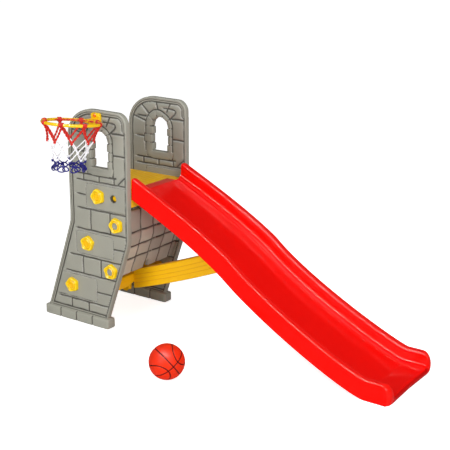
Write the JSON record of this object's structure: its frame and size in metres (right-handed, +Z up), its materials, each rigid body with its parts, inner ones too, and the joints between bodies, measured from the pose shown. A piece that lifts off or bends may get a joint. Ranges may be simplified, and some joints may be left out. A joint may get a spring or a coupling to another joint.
{
  "type": "kids slide tower",
  "caption": "Child's climbing tower with a curved chute, block-relief side panels with arched windows, steps held by star nuts, a small hoop with a net, and a ball.",
  "frame": {"origin": "centre of the bounding box on the floor", "axes": "+X from the climbing side to the chute's exit, +Y from the hoop's side panel to the other, +Z up"},
  "size_m": [1.6676, 0.7614, 0.945],
  "materials": {
    "panel_grey": "moulded polyethylene with a fine stone grain, matte",
    "tray_yellow": "moulded polyethylene, satin",
    "chute_red": "moulded polyethylene, glossy",
    "nut_yellow": "moulded plastic, satin gloss",
    "bolt_orange": "moulded plastic, satin gloss",
    "net_cord": "knotted soft cord in three colour bands",
    "ball_rubber": "soft moulded ball with recessed seams, satin"
  },
  "bodies": {
    "tower": {"side_panel_near": "panel_grey", "side_panel_far": "panel_grey", "front_wall": "panel_grey", "platform": "tray_yellow", "step_upper": "tray_yellow", "step_lower": "tray_yellow", "slide_chute": "chute_red", "support_strut": "tray_yellow", "strut_pin": "tray_yellow", "hoop_bracket": "nut_yellow", "hoop_ring": "nut_yellow", "hoop_bolt": "bolt_orange", "hoop_nut": "nut_yellow", "hoop_net": "net_cord"},
    "nut_platform_near": {"nut_platform_near": "nut_yellow"},
    "nut_platform_far": {"nut_platform_far": "nut_yellow"},
    "nut_wall_high_near": {"nut_wall_high_near": "nut_yellow"},
    "nut_wall_high_far": {"nut_wall_high_far": "nut_yellow"},
    "nut_upper_near": {"nut_upper_near": "nut_yellow"},
    "nut_upper_far": {"nut_upper_far": "nut_yellow"},
    "nut_wall_low_near": {"nut_wall_low_near": "nut_yellow"},
    "nut_wall_low_far": {"nut_wall_low_far": "nut_yellow"},
    "nut_lower_near": {"nut_lower_near": "nut_yellow"},
    "nut_lower_far": {"nut_lower_far": "nut_yellow"},
    "ball": {"ball": "ball_rubber"}
  },
  "joints": [
    {"name": "nut_platform_near_turn", "type": "hinge", "parent": "tower", "child": "nut_platform_near", "pos_m": [-0.50924, -0.07595, 0.584], "axis": [0, -1, 0], "continuous": true},
    {"name": "nut_platform_far_turn", "type": "hinge", "parent": "tower", "child": "nut_platform_far", "pos_m": [-0.50924, 0.37065, 0.584], "axis": [0, 1, 0], "continuous": true},
    {"name": "nut_wall_high_near_turn", "type": "hinge", "parent": "tower", "child": "nut_wall_high_near", "pos_m": [-0.41424, -0.07595, 0.474], "axis": [0, -1, 0], "continuous": true},
    {"name": "nut_wall_high_far_turn", "type": "hinge", "parent": "tower", "child": "nut_wall_high_far", "pos_m": [-0.41424, 0.37065, 0.474], "axis": [0, 1, 0], "continuous": true},
    {"name": "nut_upper_near_turn", "type": "hinge", "parent": "tower", "child": "nut_upper_near", "pos_m": [-0.57425, -0.07595, 0.37], "axis": [0, -1, 0], "continuous": true},
    {"name": "nut_upper_far_turn", "type": "hinge", "parent": "tower", "child": "nut_upper_far", "pos_m": [-0.57425, 0.37065, 0.37], "axis": [0, 1, 0], "continuous": true},
    {"name": "nut_wall_low_near_turn", "type": "hinge", "parent": "tower", "child": "nut_wall_low_near", "pos_m": [-0.44825, -0.07595, 0.267], "axis": [0, -1, 0], "continuous": true},
    {"name": "nut_wall_low_far_turn", "type": "hinge", "parent": "tower", "child": "nut_wall_low_far", "pos_m": [-0.44825, 0.37065, 0.267], "axis": [0, 1, 0], "continuous": true},
    {"name": "nut_lower_near_turn", "type": "hinge", "parent": "tower", "child": "nut_lower_near", "pos_m": [-0.67024, -0.07595, 0.165], "axis": [0, -1, 0], "continuous": true},
    {"name": "nut_lower_far_turn", "type": "hinge", "parent": "tower", "child": "nut_lower_far", "pos_m": [-0.67024, 0.37065, 0.165], "axis": [0, 1, 0], "continuous": true},
    {"name": "ball_lift", "type": "slide", "parent": "tower", "child": "ball", "axis": [0, 0, 1], "range_m": [0, 0.3]}
  ]
}
